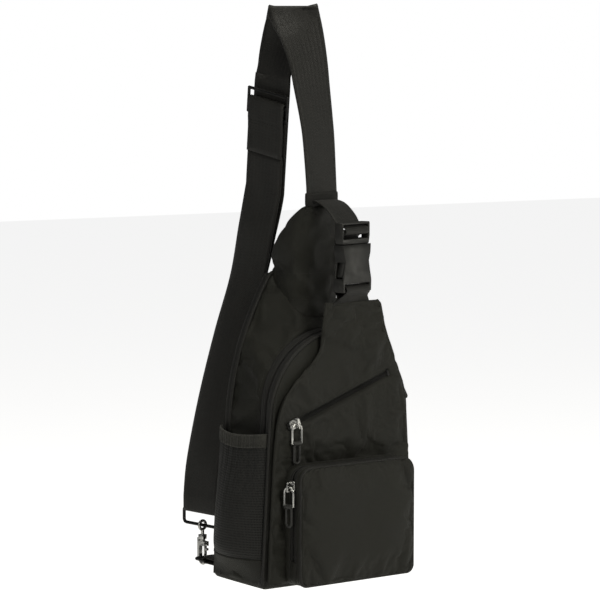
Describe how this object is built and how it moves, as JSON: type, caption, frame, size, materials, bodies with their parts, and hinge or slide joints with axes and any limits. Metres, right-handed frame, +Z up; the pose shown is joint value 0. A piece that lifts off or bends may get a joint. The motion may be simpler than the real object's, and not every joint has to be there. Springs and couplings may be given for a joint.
{
  "type": "sling bag",
  "caption": "Single-strap sling bag with zipped pockets, net side pockets, a side-release buckle and a swivel clasp on the strap.",
  "frame": {"origin": "on the underside of the base, at the middle of its width and between the front and rear seams", "axes": "+Z up towards the top of the hanging strap, -Y towards the front of the bag, +X to the right seen from the front"},
  "size_m": [0.2018, 0.1776, 0.5499],
  "materials": {
    "shell": "black woven nylon",
    "back_mesh": "black padded back cloth",
    "lining": "plain grey lining",
    "foam": "closed-cell foam sheet",
    "net": "black knitted net",
    "webbing": "black ribbed webbing",
    "zip_tape": "woven zip tape",
    "coil": "moulded nylon coil",
    "trim": "black binding",
    "silver": "satin nickel plate",
    "gunmetal": "dark plated steel wire",
    "grip": "dull grey rubber",
    "buckle_plastic": "black moulded acetal"
  },
  "bodies": {
    "bag": {"base_panel": "shell", "back_cover": "back_mesh", "back_foam": "foam", "back_lining": "lining", "rear_gusset": "shell", "main_lining": "lining", "main_zip_tape": "zip_tape", "main_zip_coil": "coil", "front_panel": "shell", "front_piping": "trim", "rear_piping": "trim", "front_overlay": "shell", "diagonal_zip_tape": "zip_tape", "diagonal_zip_coil": "coil", "diagonal_zip_stops": "silver", "pocket_gusset": "shell", "pocket_zip_tape": "zip_tape", "pocket_zip_coil": "coil", "pocket_rim": "shell", "pocket_face": "shell", "pocket_piping": "trim", "left_mesh": "net", "left_mesh_band": "trim", "left_mesh_base": "shell", "right_mesh": "net", "right_mesh_band": "trim", "right_mesh_base": "shell", "yoke": "shell", "strap_anchor": "trim", "yoke_webbing": "webbing", "buckle_female": "buckle_plastic", "overlay_webbing": "webbing", "shoulder_strap": "webbing", "corner_tab": "webbing"},
    "diagonal_slider_body": {"diagonal_slider": "silver"},
    "diagonal_pull": {"diagonal_pull_link": "silver", "diagonal_pull_loop": "grip"},
    "main_slider_body": {"main_slider": "silver"},
    "main_pull": {"main_pull_link": "silver", "main_pull_loop": "grip"},
    "left_slider_body": {"left_slider": "silver"},
    "left_pull": {"left_pull_link": "silver", "left_pull_loop": "grip"},
    "right_slider_body": {"right_slider": "silver"},
    "right_pull": {"right_pull_link": "silver", "right_pull_loop": "grip"},
    "buckle_plug": {"buckle_male": "buckle_plastic"},
    "buckle_arm_left": {"buckle_prong_left": "buckle_plastic"},
    "buckle_arm_right": {"buckle_prong_right": "buckle_plastic"},
    "glide": {"tri_glide": "gunmetal", "strap_end_loop": "webbing"},
    "ring": {"strap_ring": "gunmetal"},
    "eye": {"clasp_eye": "silver"},
    "hook": {"clasp_hook": "silver", "gate_pin": "silver", "gate_spring": "silver"},
    "gate": {"clasp_gate": "silver"},
    "dee": {"corner_ring": "gunmetal"}
  },
  "joints": [
    {"name": "diagonal_zip_slide", "type": "slide", "parent": "bag", "child": "diagonal_slider_body", "axis": [0.9397, 0, 0.342], "range_m": [0, 0.11]},
    {"name": "diagonal_pull_swing", "type": "hinge", "parent": "diagonal_slider_body", "child": "diagonal_pull", "pos_m": [-0.05665, -0.05485, 0.15452], "axis": [-1, 0, 0], "range_deg": [0, 140]},
    {"name": "main_zip_slide", "type": "hinge", "parent": "bag", "child": "main_slider_body", "pos_m": [0, -0.0335, 0.1615], "axis": [0, -1, 0], "range_deg": [0, 124]},
    {"name": "main_pull_swing", "type": "hinge", "parent": "main_slider_body", "child": "main_pull", "pos_m": [0.07271, -0.0335, 0.20016], "axis": [0, -1, 0], "range_deg": [0, 100]},
    {"name": "left_zip_slide", "type": "slide", "parent": "bag", "child": "left_slider_body", "axis": [0, 0, -1], "range_m": [0, 0.06]},
    {"name": "left_pull_swing", "type": "hinge", "parent": "left_slider_body", "child": "left_pull", "pos_m": [-0.07185, -0.0632, 0.097], "axis": [-0.2588, 0.9659, 0], "range_deg": [0, 120]},
    {"name": "right_zip_slide", "type": "slide", "parent": "bag", "child": "right_slider_body", "axis": [0, 0, -1], "range_m": [0, 0.06]},
    {"name": "right_pull_swing", "type": "hinge", "parent": "right_slider_body", "child": "right_pull", "pos_m": [0.07185, -0.0632, 0.097], "axis": [-0.2588, -0.9659, 0], "range_deg": [0, 120]},
    {"name": "buckle_release", "type": "slide", "parent": "bag", "child": "buckle_plug", "axis": [0, 0, 1], "range_m": [0, 0.022], "deforming": ["yoke_webbing"]},
    {"name": "buckle_arm_left_flex", "type": "hinge", "parent": "buckle_plug", "child": "buckle_arm_left", "pos_m": [-0.01015, -0.06533, 0.3223], "axis": [0.2924, -0.9563, 0], "range_deg": [0, 17]},
    {"name": "buckle_arm_right_flex", "type": "hinge", "parent": "buckle_plug", "child": "buckle_arm_right", "pos_m": [0.01815, -0.05667, 0.3223], "axis": [-0.2924, 0.9563, 0], "range_deg": [0, 17]},
    {"name": "strap_length", "type": "slide", "parent": "bag", "child": "glide", "axis": [0.082, 0.2094, -0.9744], "range_m": [0, 0.032]},
    {"name": "strap_ring_swing", "type": "hinge", "parent": "bag", "child": "ring", "pos_m": [-0.0815, 0.0685, 0.058], "axis": [0.1392, -0.9903, 0], "range_deg": [-4, 4]},
    {"name": "clasp_eye_swing", "type": "hinge", "parent": "ring", "child": "eye", "pos_m": [-0.0815, 0.0685, 0.043], "axis": [0.1392, -0.9903, 0], "range_deg": [-3, 3]},
    {"name": "clasp_swivel", "type": "hinge", "parent": "eye", "child": "hook", "pos_m": [-0.0815, 0.0685, 0.043], "axis": [0, 0, 1], "range_deg": [-8, 8]},
    {"name": "clasp_gate_open", "type": "hinge", "parent": "hook", "child": "gate", "pos_m": [-0.0815, 0.0637, 0.0253], "axis": [1, 0, 0], "range_deg": [0, 25], "stiffness_Nm_per_rad": 0.01, "springref_deg": -11.46},
    {"name": "corner_ring_tilt", "type": "hinge", "parent": "bag", "child": "dee", "pos_m": [-0.079, 0.0555, 0.011], "axis": [1, 0, 0], "range_deg": [-5, 5]}
  ],
  "couplings": [
    {"joint": "buckle_arm_left_flex", "follows": "buckle_release", "rad_per_m": 13},
    {"joint": "buckle_arm_right_flex", "follows": "buckle_release", "rad_per_m": 13}
  ]
}
